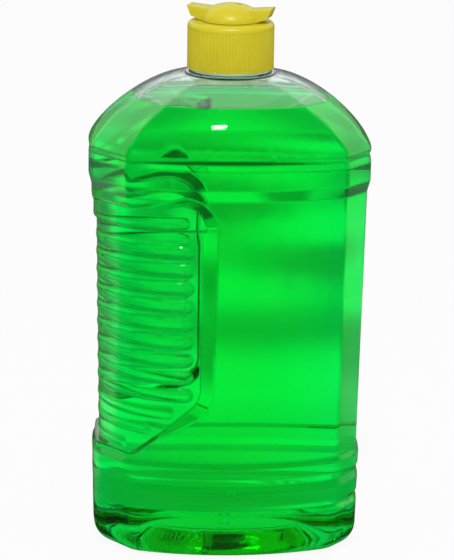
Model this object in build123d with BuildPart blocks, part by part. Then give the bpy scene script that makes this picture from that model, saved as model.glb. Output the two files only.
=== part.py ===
from build123d import *

from math import acos, degrees, radians, sin, sqrt
import os

# Body: plan of the widest band
band_width = 106.0
band_depth = 76.5
front_bow = 11.5
side_bow = 2.0
left_corner = 12.0
right_corner = 8.5
corner_crease = 4.0
heel_crease = 13.0
wall = 0.6

# Body: heights of the bands and of the label panel
heel_inset = 2.4
heel_radius = 8.0
low_groove_height = 19.7
low_groove_width = 4.6
groove_spacing = 10.2
high_groove_width = 5.6
groove_depth = 1.4
low_band_land = 7.1
low_band_inset = 1.6
panel_step = 1.8
panel_bottom_inset = 2.6
panel_length = 101.2
panel_top_inset = 1.1
band_step = 4.3
band_land = 7.0
rim_groove_width = 4.6
rim_groove_depth = 0.8

# Shoulder and neck
shoulder_height = 25.6
shoulder_slope = 1.25
shoulder_fullness = 0.65
shoulder_steps = 7
collar_radius = 18.3
collar_corner = 5.0
collar_bow = 4.6
collar_margin = 1.2
collar_step = 0.5
collar_rounding = 0.4
flange_radius = 15.6
flange_step = 0.6
neck_radius = 12.7
neck_wall = 1.8
neck_length = 15.4
ullage = 9.0
fill_gap = 0.1

# Pushed-up base
foot_width = 12.5
push_up = 6.0
push_up_slope = 12.0
push_up_rounding = 5.0
gate_radius = 1.6
gate_length = 0.5

# Ribbed hand grip
grip_side_depth = 3.1
grip_top_depth = 6.1
grip_bottom_depth = 7.3
grip_front_reach = 6.6
grip_slope_reach = 18.0
grip_slope_rise = 21.0
grip_top_margin = 4.0
grip_bottom_margin = 2.2
grip_top_round = 7.6
grip_right_round = 10.0
grip_left_round = 5.0
grip_flare = 50.0
ledge_drop = 8.5
ledge_depth = 1.2
ridge_pitch = 6.9
ridge_drop = 8.0
ridge_reach = 1.4
ridge_end_gap = 7.0
ridge_round = 4.1
ridge_rise = 1.0
ridge_fade = 0.7
ridge_root = 0.4

# Screw cap
cap_radius = 16.25
cap_rim_gap = 0.9
cap_thread_room = 0.3
thread_depth = 1.1
knurl_count = 80
knurl_radius = 0.42
knurl_land = 2.4
cap_rounding = 1.9
washer_thickness = 1.0
washer_bore = 8.5
deck_thickness = 2.0
spigot_radius = 6.0
spigot_wall = 1.4
spigot_height = 3.6
port_radius = 1.3
port_offset = 2.9

# Butterfly top
top_clearance = 0.2
hub_radius = 11.2
crown_height = 6.3
crown_flat = 1.5
wing_reach = 16.2
wing_root = 10.6
wing_tip_low = 1.6
wing_tip_high = 5.3
wing_tip_lean = 1.5
wing_saddle = 7.5
wing_saddle_height = 4.4
wing_tip_width = 7.6
wing_root_width = 11.0
wing_turn = -17.0
quarter_turn = 90.0

# Heights from the foot up, and places that follow from the sizes above
half_width = band_width / 2
half_depth = band_depth / 2
far = band_width
high_groove_height = low_groove_height + groove_spacing
low_band_top = high_groove_height + low_band_land
panel_bottom = low_band_top + panel_step
panel_top = panel_bottom + panel_length
band_bottom = panel_top + band_step
rim_groove_height = band_bottom + band_land + rim_groove_width / 2
shoulder_bottom = rim_groove_height + rim_groove_width / 2
shoulder_top = shoulder_bottom + shoulder_height
fill_height = shoulder_top - ullage
collar_top = shoulder_top + collar_step + flange_step
lip_height = collar_top + neck_length
bore_radius = neck_radius - neck_wall
cap_rim_height = collar_top + cap_rim_gap
deck_bottom = lip_height + washer_thickness
deck_top = deck_bottom + deck_thickness
knurl_top = deck_top - knurl_land
dish_half_width = half_width - heel_inset - foot_width
dish_half_depth = half_depth - heel_inset - foot_width
facet_inset = 2 - sqrt(2)
grip_bottom = panel_bottom + grip_bottom_margin
grip_top = panel_top - grip_top_margin
grip_ledge = grip_top - ledge_drop
grip_slope_top = grip_bottom + grip_slope_rise
nose_top_radius = half_depth - grip_top_depth
nose_bottom_radius = half_depth - grip_bottom_depth
nose_axis = nose_top_radius + grip_side_depth - half_width
grip_right = nose_axis + grip_front_reach
grip_slope_left = nose_axis - grip_slope_reach
ridge_end = nose_axis + ridge_reach
ridge_first_height = grip_ledge - ridge_drop
ridge_count = int((ridge_first_height - grip_bottom) / ridge_pitch) + 1


def plan(height, width, depth, bows, corners, crease, shift=0.0):
    """Plan of the body at one height: four bowed faces with a soft-edged facet at each corner."""
    face_bow, end_bow = bows
    corner_x = width - end_bow
    corner_y = depth - face_bow
    face_arc = (corner_x**2 + face_bow**2) / (2 * face_bow)
    end_arc = (corner_y**2 + end_bow**2) / (2 * end_bow)
    facets = []
    for corner in corners:
        face_x = corner_x - corner
        end_y = corner_y - corner
        face_y = depth - face_arc + sqrt(face_arc**2 - face_x**2)
        end_x = width - end_arc + sqrt(end_arc**2 - end_y**2)
        facets.append((face_x, face_y, end_x, end_y))
    (left_x, left_y, left_end_x, left_end_y), (right_x, right_y, right_end_x, right_end_y) = facets
    with BuildSketch(Plane.XY.offset(height)) as outline:
        with BuildLine():
            ThreePointArc((-left_x, -left_y), (0, -depth), (right_x, -right_y))
            Line((right_x, -right_y), (right_end_x, -right_end_y))
            ThreePointArc((right_end_x, -right_end_y), (width, 0), (right_end_x, right_end_y))
            Line((right_end_x, right_end_y), (right_x, right_y))
            ThreePointArc((right_x, right_y), (0, depth), (-left_x, left_y))
            Line((-left_x, left_y), (-left_end_x, left_end_y))
            ThreePointArc((-left_end_x, left_end_y), (-width, 0), (-left_end_x, -left_end_y))
            Line((-left_end_x, -left_end_y), (-left_x, -left_y))
        make_face()
        fillet(outline.vertices(), crease)
    return outline.sketch.moved(Location((shift, 0, 0)))


def band(height, inset, crease, shift=0.0):
    """Plan of the body set in from the widest band by one amount all round."""
    corners = (left_corner - facet_inset * inset, right_corner - facet_inset * inset)
    return plan(height, half_width - inset, half_depth - inset, (front_bow, side_bow), corners, crease, shift)


def grooved(height, width, inset, depth, crease, shift=0.0):
    """Three plans that draw a groove in the side, deepest at its mid height."""
    low = band(height - width / 2, inset, crease)
    high = band(height + width / 2, inset, crease)
    return [low, band(height, inset + depth, crease, shift), high]


def body_plans(inset):
    """Plans of the body from its foot to the shoulder."""
    side_groove = groove_depth / 2
    soft = heel_crease - inset
    crisp = corner_crease - inset
    plans = [band(inset, heel_inset + inset, soft)]
    for height, width in ((low_groove_height, low_groove_width), (high_groove_height, high_groove_width)):
        lean = low_band_inset + (heel_inset - low_band_inset) * (1 - height / low_band_top)
        plans += grooved(height, width, lean + inset, side_groove, soft, -side_groove)
    plans.append(band(low_band_top, low_band_inset + inset, soft))
    plans.append(band(panel_bottom, panel_bottom_inset + inset, crisp))
    plans.append(band(panel_top, panel_top_inset + inset, crisp))
    plans.append(band(band_bottom, inset, crisp))
    plans += grooved(rim_groove_height, rim_groove_width, inset, rim_groove_depth, crisp)
    return plans


def shoulder_plans(inset):
    """Plans of the shoulder, which turns from the body's outline to the round collar."""
    plans = []
    shrink = facet_inset * inset
    for step in range(shoulder_steps + 1):
        rise = sin(radians(quarter_turn * step / shoulder_steps))
        spread = max(1 - rise**shoulder_slope, 0) ** shoulder_fullness
        height = shoulder_bottom + (shoulder_height - inset) * rise
        width = collar_radius + (half_width - collar_radius) * spread - inset
        depth = collar_radius + (half_depth - collar_radius) * spread - inset
        bows = (collar_bow + (front_bow - collar_bow) * spread, collar_bow + (side_bow - collar_bow) * spread)
        left = collar_corner + (left_corner - collar_corner) * spread - shrink
        right = collar_corner + (right_corner - collar_corner) * spread - shrink
        plans.append(plan(height, width, depth, bows, (left, right), corner_crease - inset))
    return plans


def nose_radius(height):
    """Radius of the grip's nose, which tapers with the body."""
    share = (height - grip_bottom) / (grip_ledge - grip_bottom)
    return nose_bottom_radius + (nose_top_radius - nose_bottom_radius) * share


def nose_plan(height, radius):
    """Plan of the nose: a half circle to the left that runs on straight into the body."""
    with BuildSketch(Plane.XY.offset(height)) as outline:
        with Locations((nose_axis, 0)):
            Circle(radius)
            Rectangle(far, 2 * radius, align=(Align.MIN, Align.CENTER))
    return outline.sketch


def ridge_half_arc(height):
    """Angle that a ridge covers on each side of the grip's left edge."""
    slope = (grip_right - grip_slope_left) / (grip_slope_top - grip_bottom)
    boundary = grip_slope_left + slope * (height - grip_bottom)
    end = min(ridge_end, boundary - ridge_end_gap)
    return degrees(acos((nose_axis + ridge_fade - end) / nose_radius(height)))


def grip_nose(inset):
    """Rounded nose inside the grip, with its ledge and ridges, set in all round."""
    axis = nose_axis + ridge_fade
    with BuildPart() as nose:
        low = nose_plan(grip_bottom - inset, nose_bottom_radius - inset)
        high = nose_plan(grip_ledge + inset, nose_top_radius - inset)
        loft([low, high])
        extrude(nose_plan(grip_ledge + inset, nose_top_radius + ledge_depth - inset), band_bottom - grip_ledge)
        for count in range(ridge_count):
            height = ridge_first_height - count * ridge_pitch
            half_arc = ridge_half_arc(height)
            outward = Vector(-1, 0, 0).rotate(Axis.Z, half_arc)
            section = Plane((axis, 0, height), x_dir=outward, z_dir=outward.cross(Vector(0, 0, 1)))
            centre = nose_radius(height) + ridge_rise - ridge_round
            root = nose_radius(height) - ridge_root - inset
            with BuildSketch(section) as ridge:
                with Locations((centre, 0)):
                    Circle(ridge_round - inset)
                with Locations((root, 0)):
                    Rectangle(far, far, align=(Align.MAX, Align.CENTER), mode=Mode.SUBTRACT)
            revolve(ridge.sketch, axis=Axis((axis, 0, 0), (0, 0, -1)), revolution_arc=2 * half_arc)
            tip = outward * centre
            with Locations((axis + tip.X, tip.Y, height), (axis + tip.X, -tip.Y, height)):
                Sphere(ridge_round - inset)
    return nose.part


def grip_cut(inset):
    """What the grip takes out of the body: its outline less the ribbed nose."""
    floor = nose_top_radius - inset
    with BuildPart() as cut:
        with BuildSketch(Plane.XZ) as outline:
            with BuildLine():
                Polyline(
                    (-far, grip_bottom),
                    (grip_slope_left, grip_bottom),
                    (grip_right, grip_slope_top),
                    (grip_right, grip_top),
                    (-far, grip_top),
                    close=True,
                )
            make_face()
            fillet(outline.vertices().sort_by_distance((grip_right, grip_top))[0], grip_top_round)
            fillet(outline.vertices().sort_by_distance((grip_right, grip_slope_top))[0], grip_right_round)
            fillet(outline.vertices().sort_by_distance((grip_slope_left, grip_bottom))[0], grip_left_round)
            if inset:
                offset(amount=inset)
        extrude(amount=floor, both=True)
        for face in cut.faces().filter_by(Axis.Y):
            extrude(face, amount=half_depth - floor, taper=-grip_flare)
        add(grip_nose(inset), mode=Mode.SUBTRACT)
    return cut.part


def vessel(inset):
    """The body's form up to the collar, set in all round by one amount."""
    with BuildPart() as form:
        loft(body_plans(inset), ruled=True)
        fillet(form.faces().sort_by(Axis.Z)[0].edges(), heel_radius - inset)
        loft(shoulder_plans(inset))
        add(grip_cut(inset), mode=Mode.SUBTRACT)
        add(base_dish(inset), mode=Mode.SUBTRACT)
    return form.part


def base_dish(inset):
    """The hollow that the pushed-up base leaves under the body."""
    with BuildPart() as dish:
        for height, edge in ((0, 0), (push_up + inset, push_up_slope)):
            with BuildSketch(Plane.XY.offset(height)):
                Ellipse(dish_half_width - edge + inset, dish_half_depth - edge + inset)
        loft()
        fillet(dish.faces().sort_by(Axis.Z)[-1].edges(), push_up_rounding)
    return dish.part


os.makedirs("parts", exist_ok=True)

# Bottle
with BuildPart() as bottle:
    add(vessel(0))
    with BuildSketch(Plane.XY.offset(shoulder_top - collar_rounding)):
        Circle(collar_radius - collar_margin)
    extrude(amount=collar_step + collar_rounding)
    fillet(bottle.edges().group_by(Axis.Z)[-1], collar_rounding)
    with BuildSketch(Plane.XY.offset(shoulder_top)):
        Circle(flange_radius)
    extrude(amount=collar_top - shoulder_top)
    fillet(bottle.edges().group_by(Axis.Z)[-1], collar_rounding)
    with BuildSketch(Plane.XY.offset(collar_top)):
        Circle(neck_radius)
    extrude(amount=lip_height - collar_top)
    add(vessel(wall), mode=Mode.SUBTRACT)
    with BuildSketch(Plane.XY.offset(lip_height)):
        Circle(bore_radius)
    extrude(amount=shoulder_bottom - lip_height, mode=Mode.SUBTRACT)
    with BuildSketch(Plane.XY.offset(push_up)):
        Circle(gate_radius)
    extrude(amount=-gate_length)
bottle.part.label = "bottle"
export_step(bottle.part, "parts/bottle.step")

# Cologne
with BuildPart() as cologne:
    add(vessel(wall + fill_gap))
    split(bisect_by=Plane.XY.offset(fill_height), keep=Keep.BOTTOM)
cologne.part.label = "cologne"
export_step(cologne.part, "parts/cologne.step")

# Seal washer
with BuildPart() as seal_washer:
    with BuildSketch(Plane.XY.offset(lip_height)):
        Circle(neck_radius)
        Circle(washer_bore, mode=Mode.SUBTRACT)
    extrude(amount=washer_thickness)
seal_washer.part.label = "seal_washer"
export_step(seal_washer.part, "parts/seal_washer.step")

# Screw cap
with BuildPart() as cap_body:
    with BuildSketch(Plane.XY.offset(cap_rim_height)):
        Circle(cap_radius)
    extrude(amount=deck_top - cap_rim_height)
    fillet(cap_body.edges().group_by(Axis.Z)[-1], cap_rounding)
    with BuildSketch(Plane.XY.offset(cap_rim_height)):
        with PolarLocations(cap_radius + knurl_radius / 2, knurl_count):
            Circle(knurl_radius)
    extrude(amount=knurl_top - cap_rim_height, mode=Mode.SUBTRACT)
    with BuildSketch(Plane.XY.offset(cap_rim_height)):
        Circle(neck_radius + thread_depth + cap_thread_room)
    extrude(amount=deck_bottom - cap_rim_height, mode=Mode.SUBTRACT)
    with BuildSketch(Plane.XY.offset(deck_top)):
        Circle(spigot_radius)
    extrude(amount=spigot_height)
    with BuildSketch(Plane.XY.offset(deck_bottom)):
        Circle(spigot_radius - spigot_wall)
    extrude(amount=deck_thickness + spigot_height - spigot_wall, mode=Mode.SUBTRACT)
    with BuildSketch(Plane.XY.offset(deck_top + spigot_height)):
        with PolarLocations(port_offset, 1, start_angle=wing_turn + quarter_turn):
            Circle(port_radius)
    extrude(amount=-spigot_wall, mode=Mode.SUBTRACT)
cap_body.part.label = "cap_body"
export_step(cap_body.part, "parts/cap_body.step")

# Butterfly top
top_bottom = deck_top + top_clearance
with BuildPart() as butterfly_top:
    with BuildSketch(Plane.XZ):
        with BuildLine():
            right_side = Polyline(
                (0, top_bottom),
                (wing_root, top_bottom),
                (wing_reach - wing_tip_lean, top_bottom + wing_tip_low),
                (wing_reach, top_bottom + wing_tip_high),
                (wing_saddle, top_bottom + wing_saddle_height),
                (0, top_bottom + wing_saddle_height),
            )
            mirror(right_side, about=Plane.YZ)
        make_face()
    extrude(amount=hub_radius, both=True)
    with BuildSketch(Plane.XY.offset(top_bottom)):
        with BuildLine():
            front_edge = Polyline(
                (-wing_reach, 0),
                (-wing_reach, -wing_tip_width / 2),
                (0, -wing_root_width / 2),
                (wing_reach, -wing_tip_width / 2),
                (wing_reach, 0),
            )
            mirror(front_edge, about=Plane.XZ)
        make_face()
    extrude(amount=crown_height, mode=Mode.INTERSECT)
    with BuildSketch(Plane.XZ):
        with BuildLine():
            Polyline(
                (crown_flat, top_bottom + crown_height),
                (0, top_bottom + crown_height),
                (0, top_bottom),
                (hub_radius, top_bottom),
            )
            EllipticalCenterArc(
                (crown_flat, top_bottom), hub_radius - crown_flat, crown_height, arc_size=quarter_turn
            )
        make_face()
    revolve(axis=Axis.Z)
    with BuildSketch(Plane.XY.offset(top_bottom)):
        Circle(spigot_radius + top_clearance)
    extrude(amount=spigot_height, mode=Mode.SUBTRACT)
    with BuildSketch(Plane.XY.offset(top_bottom)):
        with Locations((port_offset, 0)):
            Circle(port_radius)
    extrude(amount=crown_height, mode=Mode.SUBTRACT)
butterfly_top.part = butterfly_top.part.rotate(Axis.Z, wing_turn)
butterfly_top.part.label = "butterfly_top"
export_step(butterfly_top.part, "parts/butterfly_top.step")
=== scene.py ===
from math import cos, pi, radians, sin

import bpy
from mathutils import Matrix, Vector


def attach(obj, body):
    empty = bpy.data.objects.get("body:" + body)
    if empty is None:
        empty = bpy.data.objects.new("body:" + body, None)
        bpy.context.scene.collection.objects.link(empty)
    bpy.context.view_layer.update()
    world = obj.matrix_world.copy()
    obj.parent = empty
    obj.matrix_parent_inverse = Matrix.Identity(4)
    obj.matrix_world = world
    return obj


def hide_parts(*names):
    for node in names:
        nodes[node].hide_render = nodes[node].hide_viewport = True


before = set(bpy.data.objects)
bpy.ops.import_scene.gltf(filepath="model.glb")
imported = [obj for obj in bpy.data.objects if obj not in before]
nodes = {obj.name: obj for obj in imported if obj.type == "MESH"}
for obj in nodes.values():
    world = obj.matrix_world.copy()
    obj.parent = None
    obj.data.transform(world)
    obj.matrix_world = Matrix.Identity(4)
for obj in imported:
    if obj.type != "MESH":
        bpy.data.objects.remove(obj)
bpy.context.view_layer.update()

mm = 0.001

# Points nearer than this, in metres, are one point
weld = 1e-7

# How far the liquid reaches past its solid, into the plastic, in millimetres
wetting = 0.4

# Screw threads of the neck and the cap, in millimetres
neck_radius = 12.7
cap_bore = 14.1
thread_pitch = 4.2
thread_depth = 1.0
thread_turns = 1.5
thread_sink = 0.05
thread_half_foot = 1.0
thread_half_crest = 0.35
thread_steps = 108
neck_thread_start = 187.6
cap_thread_start = 185.5

# Rounded edges, in millimetres: on the winged top, and as the clear walls and the liquid show them
top_edge = 0.45
plastic_edge = 0.4
liquid_edge = 1.2

# Part of the floor painted as a glowing pool of light, in metres from the bottle's axis, and where its
# back half begins
pool_far = 1.1
pool_end = 1.8
pool_half_width = 0.2
pool_fade = 0.25
pool_side_loss = 0.6
back_start = 0.0
back_full = 0.06
floor_size = 6
floor_gap = 0.0002

# Brightness that clear walls and gloss find in the room, where 1 is white
dim_room = 0.17
pool_least = 0.38
pool_patches = 0.6
sky_light = 0.7
front_share = 0.05
front_gloss = 0.02
floor_gloss = 0.06
back_gloss = 0.25
sky_gloss = 0.7
soft_fill = 0.6
shadow_share = 0.93

# Strip light over the front: its place, aim and size in metres, and its power in watts
key_place = Vector((-0.07, -0.85, 1.2))
key_aim = Vector((0, 0, 0.1))
key_width = 0.12
key_height = 0.025
key_power = 8

# The photo's view: frame height and focal length in pixels, the rest in metres and radians
photo_height = 560
focal_length = 2707
sensor_height = 36
camera_reach = 1.0
camera_height = 0.3673
camera_yaw = radians(3)
camera_pitch = radians(14.92)
camera_roll = radians(0.9)

# Light may cross many clear walls before it leaves the bottle
wall_crossings = 24


class Wire:
    """One socket of a node tree: sums on wires add Math nodes, and add() makes any other node."""

    def __init__(self, tree, socket=None):
        self.tree = tree
        self.socket = socket

    def add(self, kind, settings=None, inputs=None, output=0):
        node = self.tree.nodes.new(kind)
        for name, value in (settings or {}).items():
            setattr(node, name, value)
        for name, value in (inputs or {}).items():
            if isinstance(value, Wire):
                self.tree.links.new(value.socket, node.inputs[name])
            else:
                node.inputs[name].default_value = value
        return Wire(self.tree, node.outputs[output])

    def other(self, output):
        """Another output of the same node."""
        return Wire(self.tree, self.socket.node.outputs[output])

    def maths(self, operation, first, second=0.0):
        return self.add("ShaderNodeMath", {"operation": operation}, {0: first, 1: second})

    def __add__(self, other):
        return self.maths("ADD", self, other)

    __radd__ = __add__

    def __mul__(self, other):
        return self.maths("MULTIPLY", self, other)

    __rmul__ = __mul__

    def __sub__(self, other):
        return self.maths("SUBTRACT", self, other)

    def __rsub__(self, other):
        return self.maths("SUBTRACT", other, self)

    def __abs__(self):
        return self.maths("ABSOLUTE", self)


def new_material(name):
    """An empty material, a wire to its node tree and its output node."""
    material = bpy.data.materials.new(name)
    material.use_nodes = True
    material.node_tree.nodes.clear()
    return material, Wire(material.node_tree), material.node_tree.nodes.new("ShaderNodeOutputMaterial")


def finish_surface(tree, end, inputs):
    """A Principled shader with these sockets, linked to the material's output."""
    shader = tree.add("ShaderNodeBsdfPrincipled", None, inputs)
    tree.tree.links.new(shader.socket, end.inputs["Surface"])


def eased(tree, value, low, high):
    """A soft step from 0 to 1 as a value goes from low to high."""
    ends = {"Value": value, "From Min": low, "From Max": high}
    return tree.add("ShaderNodeMapRange", {"interpolation_type": "SMOOTHSTEP"}, ends)


def noise(tree, place, scale, detail):
    return tree.add("ShaderNodeTexNoise", None, {"Vector": place, "Scale": scale, "Detail": detail})


def mottled(tree, place, scale, first, second):
    """A colour that drifts between two tones in soft clouds, and the cloud itself."""
    cloud = noise(tree, place, scale, 3.0)
    tones = {0: cloud, 6: (*first, 1), 7: (*second, 1)}
    return tree.add("ShaderNodeMix", {"data_type": "RGBA"}, tones, 2), cloud


def bumped(tree, height, strength, distance, inputs=None):
    """A slope made by a height, on top of any slope that is given."""
    shape = {"Strength": strength, "Distance": distance, "Height": height}
    return tree.add("ShaderNodeBump", None, {**shape, **(inputs or {})})


def rounded_edge(tree, radius):
    """Slopes that run softly over an edge, as blown plastic and a wetted wall show it."""
    return tree.add("ShaderNodeBevel", {"samples": 4}, {"Radius": radius * mm})


def clear_plastic():
    material, tree, end = new_material("clear_plastic")
    place = tree.add("ShaderNodeTexCoord", output="Object")
    tint, cloud = mottled(tree, place, 55.0, (0.92, 0.98, 0.985), (0.95, 0.99, 0.99))
    flow = noise(tree, place, 38.0, 1.0)
    finish_surface(tree, end, {
        "Base Color": tint,
        "Roughness": cloud * 0.02,
        "IOR": 1.5,
        "Transmission Weight": 1.0,
        "Normal": bumped(tree, flow, 0.08, 0.0006, {"Normal": rounded_edge(tree, plastic_edge)}),
    })
    return material


def green_cologne():
    material, tree, end = new_material("green_cologne")
    place = tree.add("ShaderNodeTexCoord", output="Object")
    tint, cloud = mottled(tree, place, 30.0, (0.97, 1.0, 0.97), (1.0, 1.0, 1.0))
    finish_surface(tree, end, {
        "Base Color": tint,
        "Roughness": cloud * 0.004,
        "IOR": 1.36,
        "Transmission Weight": 1.0,
        "Normal": rounded_edge(tree, liquid_edge),
    })
    dye = tree.add("ShaderNodeVolumeAbsorption", None, {"Color": (0.0, 0.991, 0.83, 1), "Density": 250.0})
    tree.tree.links.new(dye.socket, end.inputs["Volume"])
    return material


def yellow_plastic():
    material, tree, end = new_material("yellow_plastic")
    place = tree.add("ShaderNodeTexCoord", output="Object")
    colour, cloud = mottled(tree, place, 90.0, (0.66, 0.56, 0.008), (0.74, 0.65, 0.02))
    grain = noise(tree, place, 1500.0, 2.0)
    finish_surface(tree, end, {
        "Base Color": colour,
        "Roughness": 0.28 + cloud * 0.15,
        "IOR": 1.49,
        "Subsurface Weight": 0.15,
        "Subsurface Radius": (1.0, 0.7, 0.1),
        "Subsurface Scale": 0.002,
        "Normal": bumped(tree, grain, 0.12, 0.0002),
    })
    return material


def liner_foam():
    material, tree, end = new_material("liner_foam")
    place = tree.add("ShaderNodeTexCoord", output="Object")
    colour, cells = mottled(tree, place, 2500.0, (0.75, 0.75, 0.72), (0.88, 0.88, 0.86))
    pores = bumped(tree, cells, 0.3, 0.0002)
    finish_surface(tree, end, {"Base Color": colour, "Roughness": 0.8, "Normal": pores})
    return material


def give(piece, material):
    piece.data.materials.clear()
    piece.data.materials.append(material)


def only(piece):
    """Makes this the one selected object, and the active one."""
    bpy.ops.object.select_all(action="DESELECT")
    piece.select_set(True)
    bpy.context.view_layer.objects.active = piece


def edit(piece):
    """Opens a piece in edit mode with everything selected."""
    only(piece)
    bpy.ops.object.mode_set(mode="EDIT")
    bpy.ops.mesh.select_all(action="SELECT")


def done():
    bpy.ops.object.mode_set(mode="OBJECT")


def apply_modifier(piece, kind, **settings):
    modifier = piece.modifiers.new(kind.lower(), kind)
    for name, value in settings.items():
        setattr(modifier, name, value)
    only(piece)
    bpy.ops.object.modifier_apply(modifier=modifier.name)


def twin(piece, name):
    """A copy of a piece with its own mesh."""
    copy = bpy.data.objects.new(name, piece.data.copy())
    bpy.context.scene.collection.objects.link(copy)
    return copy


def smooth(piece):
    only(piece)
    bpy.ops.object.shade_smooth_by_angle(angle=radians(40))


def merged_twin(solid, name):
    """A copy of a solid with its loose triangles joined, which keeps the solid's own surface slopes."""
    piece = twin(solid, name)
    mesh = piece.data
    slopes = [value for corner in mesh.corner_normals for value in corner.vector]
    mesh.attributes.new("slope", "FLOAT_VECTOR", "CORNER").data.foreach_set("vector", slopes)
    edit(piece)
    bpy.ops.mesh.remove_doubles(threshold=weld)
    done()
    mesh.normals_split_custom_set([tuple(corner.vector) for corner in mesh.attributes["slope"].data])
    mesh.attributes.remove(mesh.attributes["slope"])
    return piece


def drawn_line(name, line):
    """A line of (radius, height) points in the XZ plane, drawn by extruding one vertex along it."""
    bpy.ops.object.select_all(action="DESELECT")
    bpy.ops.mesh.primitive_plane_add(size=mm)
    piece = bpy.context.object
    piece.name = name
    bpy.ops.object.mode_set(mode="EDIT")
    bpy.ops.mesh.merge(type="CENTER")
    bpy.ops.transform.translate(value=(line[0][0] * mm, 0, line[0][1] * mm))
    for here, there in zip(line, line[1:]):
        step = ((there[0] - here[0]) * mm, 0, (there[1] - here[1]) * mm)
        bpy.ops.mesh.extrude_vertices_move(TRANSFORM_OT_translate={"value": step})
    done()
    return piece


def thread(name, root, crest, start):
    """A screw ridge between two radii that winds up from its start, with closed ends."""
    ridge = drawn_line(name, [
        (root, start - thread_half_foot),
        (crest, start - thread_half_crest),
        (crest, start + thread_half_crest),
        (root, start + thread_half_foot),
    ])
    edit(ridge)
    bpy.ops.mesh.edge_face_add()
    bpy.ops.mesh.delete(type="ONLY_FACE")
    done()
    turn = thread_turns * 2 * pi
    lift = thread_turns * thread_pitch * mm
    apply_modifier(ridge, "SCREW", axis="Z", angle=turn, screw_offset=lift, steps=thread_steps,
                   render_steps=thread_steps, use_merge_vertices=False)
    edit(ridge)
    bpy.ops.mesh.fill_holes(sides=0)
    bpy.ops.mesh.normals_make_consistent(inside=False)
    done()
    smooth(ridge)
    return ridge


def place_cologne():
    """The liquid wets the wall: a copy of its solid, widened until it lies just inside the plastic."""
    cologne = merged_twin(nodes["cologne"], "poured_cologne")
    edit(cologne)
    bpy.ops.transform.shrink_fatten(value=wetting * mm)
    done()
    give(cologne, liquid)
    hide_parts("cologne")
    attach(cologne, "root")


def place_threads():
    """The neck's thread points outwards and the cap's inwards, each rooted a little in its own wall."""
    neck_crest = neck_radius + thread_depth
    cap_crest = cap_bore - thread_depth
    neck_thread = thread("neck_thread", neck_radius - thread_sink, neck_crest, neck_thread_start)
    cap_thread = thread("cap_thread", cap_bore + thread_sink, cap_crest, cap_thread_start)
    give(neck_thread, plastic)
    give(cap_thread, moulded_yellow)
    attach(neck_thread, "root")
    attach(cap_thread, "cap")


def place_top():
    """The winged top with its sharp edges rounded, as a mould leaves them."""
    top = twin(nodes["butterfly_top"], "winged_top")
    edit(top)
    bpy.ops.mesh.remove_doubles(threshold=weld)
    bpy.ops.mesh.customdata_custom_splitnormals_clear()
    bpy.ops.mesh.dissolve_limited(angle_limit=radians(1.5))
    done()
    apply_modifier(top, "BEVEL", width=top_edge * mm, segments=3, limit_method="ANGLE",
                   angle_limit=radians(28), use_clamp_overlap=True, harden_normals=False)
    smooth(top)
    give(top, moulded_yellow)
    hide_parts("butterfly_top")
    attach(top, "top")


def ray_kinds(tree):
    """What a ray is: straight from the eye, on its way through glass, or off gloss alone."""
    eye = tree.add("ShaderNodeLightPath", output="Is Camera Ray")
    glass = eye.other("Is Transmission Ray")
    gloss = eye.other("Is Glossy Ray") * (1 - glass)
    return eye, glass, gloss


def seen_through(tree, eye, behind):
    """Share of the room that a glass ray sees: all past the liquid, and little in front past one wall."""
    # Painted light: the floor and room glow fully for rays that have crossed the liquid, and only dimly
    # for rays through one front wall
    past_liquid = eased(tree, eye.other("Transmission Depth"), 4.4, 5.6)
    return past_liquid + (1 - past_liquid) * (front_share + behind * (1 - front_share))


def floor_paint():
    """White for the eye; glass sees a pool of light painted in patches round the bottle, a glow of the
    floor. It takes the shadow.
    """
    material, tree, end = new_material("floor_paint")
    place = tree.add("ShaderNodeTexCoord", output="Object")
    side = tree.add("ShaderNodeSeparateXYZ", None, {"Vector": place}, "X")
    depth = side.other("Y")
    reach = tree.add("ShaderNodeVectorMath", {"operation": "LENGTH"}, {0: place}, "Value")
    behind = eased(tree, depth, back_start, back_full)
    beyond = eased(tree, reach, pool_far, pool_end)
    beside = eased(tree, abs(side), pool_half_width, pool_half_width + pool_fade)
    # Painted light: for glass rays the floor glows in a patchy pool round the bottle, fading far off and
    # to the sides
    patches = eased(tree, noise(tree, place, 7.0, 0.0), 0.35, 0.65)
    lit = (1 - beyond) * (1 - beside * pool_side_loss) * (pool_least + patches * pool_patches)
    eye, glass, gloss = ray_kinds(tree)
    through = (dim_room + lit) * seen_through(tree, eye, behind)
    # Painted light: for gloss rays the floor glows, a little brighter behind the bottle
    mirrored = front_gloss + eased(tree, depth, 0.0, 0.1) * floor_gloss
    glow = eye + glass * through + gloss * mirrored
    matt = tree.add("ShaderNodeBsdfDiffuse", None, {"Color": (0.85, 0.85, 0.85, 1)})
    shine = tree.add("ShaderNodeEmission", None, {"Color": (1, 1, 1, 1), "Strength": glow})
    share = eye * shadow_share + glass + gloss
    both = tree.add("ShaderNodeMixShader", None, {0: share, 1: matt, 2: shine})
    tree.tree.links.new(both.socket, end.inputs["Surface"])
    return material


def place_floor():
    bpy.ops.object.select_all(action="DESELECT")
    bpy.ops.mesh.primitive_plane_add(size=floor_size, location=(0, 0, -floor_gap))
    floor = bpy.context.object
    floor.name = "floor"
    give(floor, floor_paint())


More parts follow.
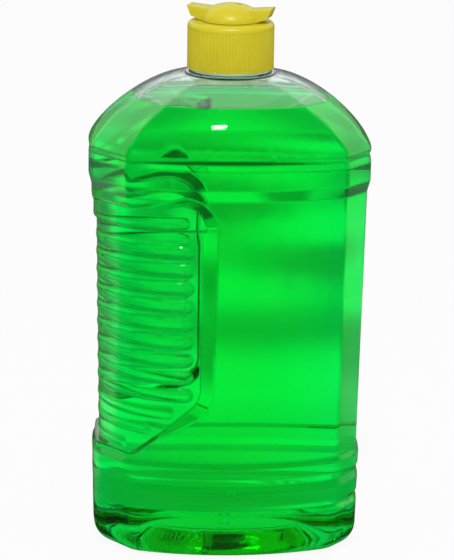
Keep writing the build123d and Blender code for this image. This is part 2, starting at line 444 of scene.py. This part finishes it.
def light_room():
    """A white room: glass sees it dim at the horizon and bright above, gloss bright behind and above."""
    world = bpy.data.worlds.new("room")
    bpy.context.scene.world = world
    world.use_nodes = True
    world.node_tree.nodes.clear()
    tree = Wire(world.node_tree)
    end = world.node_tree.nodes.new("ShaderNodeOutputWorld")
    way = tree.add("ShaderNodeTexCoord", output="Generated")
    side = tree.add("ShaderNodeSeparateXYZ", None, {"Vector": way}, "X")
    rise = side.other("Z")
    sideways = eased(tree, abs(side), 0.5, 0.95)
    behind = eased(tree, side.other("Y"), -0.1, 0.5)
    above = eased(tree, rise, 0.08, 0.3)
    overhead = eased(tree, rise, 0.75, 0.95)
    mirrored = front_gloss + behind * (back_gloss + above * (1 - overhead) * sky_gloss)
    eye, glass, gloss = ray_kinds(tree)
    through = (dim_room + above * (1 - sideways) * sky_light) * seen_through(tree, eye, behind)
    fill = (1 - eye - glass - gloss) * soft_fill
    strength = eye + glass * through + gloss * mirrored + fill
    sky = tree.add("ShaderNodeBackground", None, {"Color": (1, 1, 1, 1), "Strength": strength})
    tree.tree.links.new(sky.socket, end.inputs["Surface"])


def place_key_light():
    data = bpy.data.lights.new("key_light", "AREA")
    data.shape = "RECTANGLE"
    data.size = key_width
    data.size_y = key_height
    data.energy = key_power
    light = bpy.data.objects.new("key_light", data)
    light.location = key_place
    light.rotation_euler = (key_aim - key_place).to_track_quat("-Z", "Y").to_euler()
    bpy.context.scene.collection.objects.link(light)


def place_camera():
    """The photo's view: a metre away, a little left of the front, looking slightly down."""
    data = bpy.data.cameras.new("camera")
    data.sensor_fit = "VERTICAL"
    data.sensor_height = sensor_height
    data.lens = focal_length / photo_height * sensor_height
    camera = bpy.data.objects.new("camera", data)
    camera.location = (-camera_reach * sin(camera_yaw), -camera_reach * cos(camera_yaw), camera_height)
    look = Matrix.Rotation(-camera_yaw, 3, "Z") @ Matrix.Rotation(pi / 2 - camera_pitch, 3, "X")
    camera.rotation_euler = (look @ Matrix.Rotation(camera_roll, 3, "Z")).to_euler()
    bpy.context.scene.collection.objects.link(camera)
    bpy.context.scene.camera = camera


plastic = clear_plastic()
liquid = green_cologne()
moulded_yellow = yellow_plastic()
foam = liner_foam()

for name, finish in (("bottle", plastic), ("cap_body", moulded_yellow), ("seal_washer", foam)):
    give(nodes[name], finish)
place_cologne()
place_threads()
place_top()

place_floor()
light_room()
place_key_light()
place_camera()
bpy.context.scene.view_settings.view_transform = "Standard"
bpy.context.scene.cycles.max_bounces = wall_crossings
bpy.context.scene.cycles.transmission_bounces = wall_crossings
